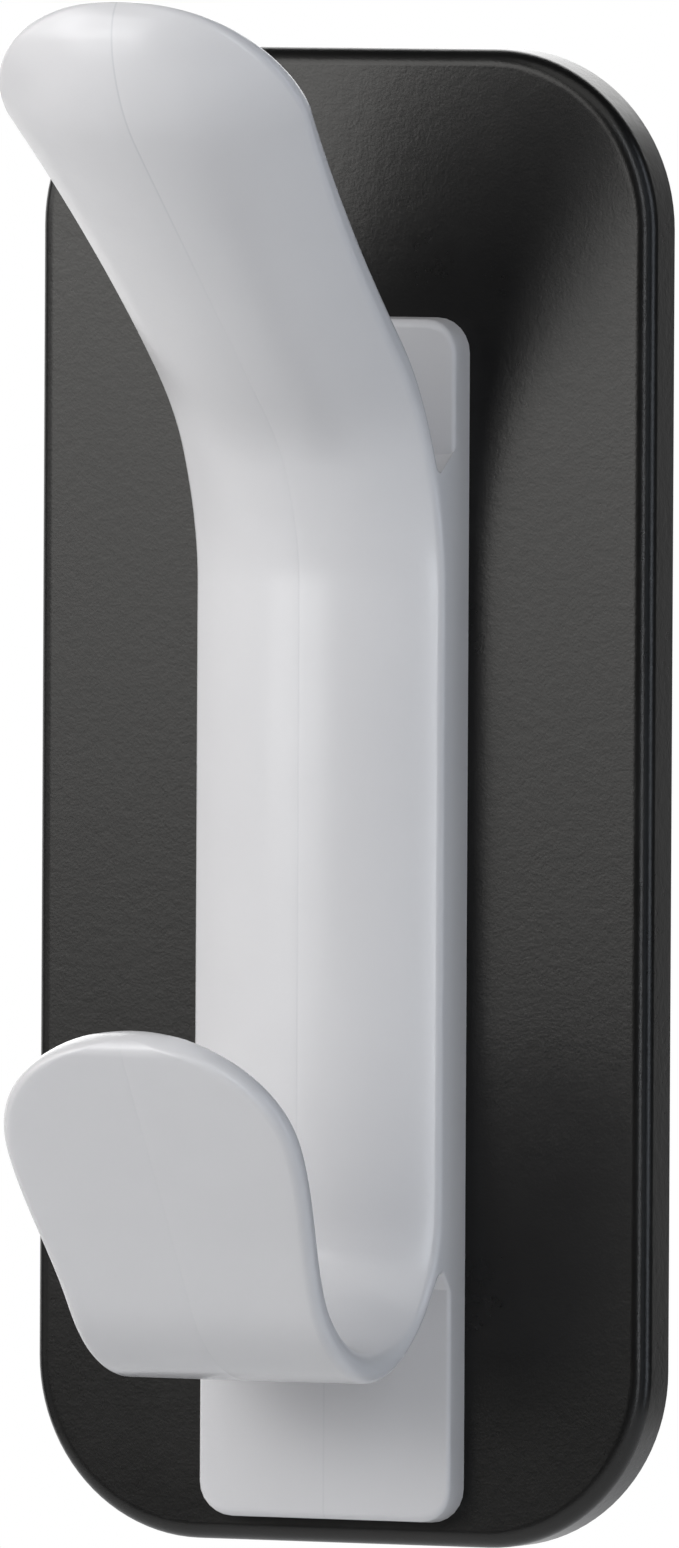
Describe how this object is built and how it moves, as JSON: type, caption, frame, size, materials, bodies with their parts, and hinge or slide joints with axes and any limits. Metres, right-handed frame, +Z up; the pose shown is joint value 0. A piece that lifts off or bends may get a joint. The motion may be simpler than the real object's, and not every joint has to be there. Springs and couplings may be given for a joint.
{
  "type": "magnetic coat hook",
  "caption": "Magnetic coat hook: a moulded plastic hook with a long upper arm and a lower lip, screwed to a rounded steel pan that holds a sheet magnet.",
  "frame": {"origin": "centre of the face that meets the wall, on the back of the grip sheet", "axes": "+Y into the wall, +Z up the wall, the hook reaches out along -Y"},
  "size_m": [0.05, 0.043, 0.114],
  "materials": {
    "hook_plastic": "satin moulded, very light grey",
    "pan_paint": "satin black powder coat with a fine orange peel",
    "screw_steel": "bright zinc plated",
    "tape_foam": "matte foam tape",
    "magnet_rubber": "matte rubber-bonded ferrite",
    "grip_rubber": "fine matte non-slip rubber"
  },
  "bodies": {
    "root": {"hook": "hook_plastic", "steel_pan": "pan_paint", "screw_upper": "screw_steel", "screw_lower": "screw_steel", "washer_upper": "screw_steel", "washer_lower": "screw_steel", "magnet_tape": "tape_foam", "magnet_sheet": "magnet_rubber", "grip_sheet": "grip_rubber"}
  },
  "joints": []
}
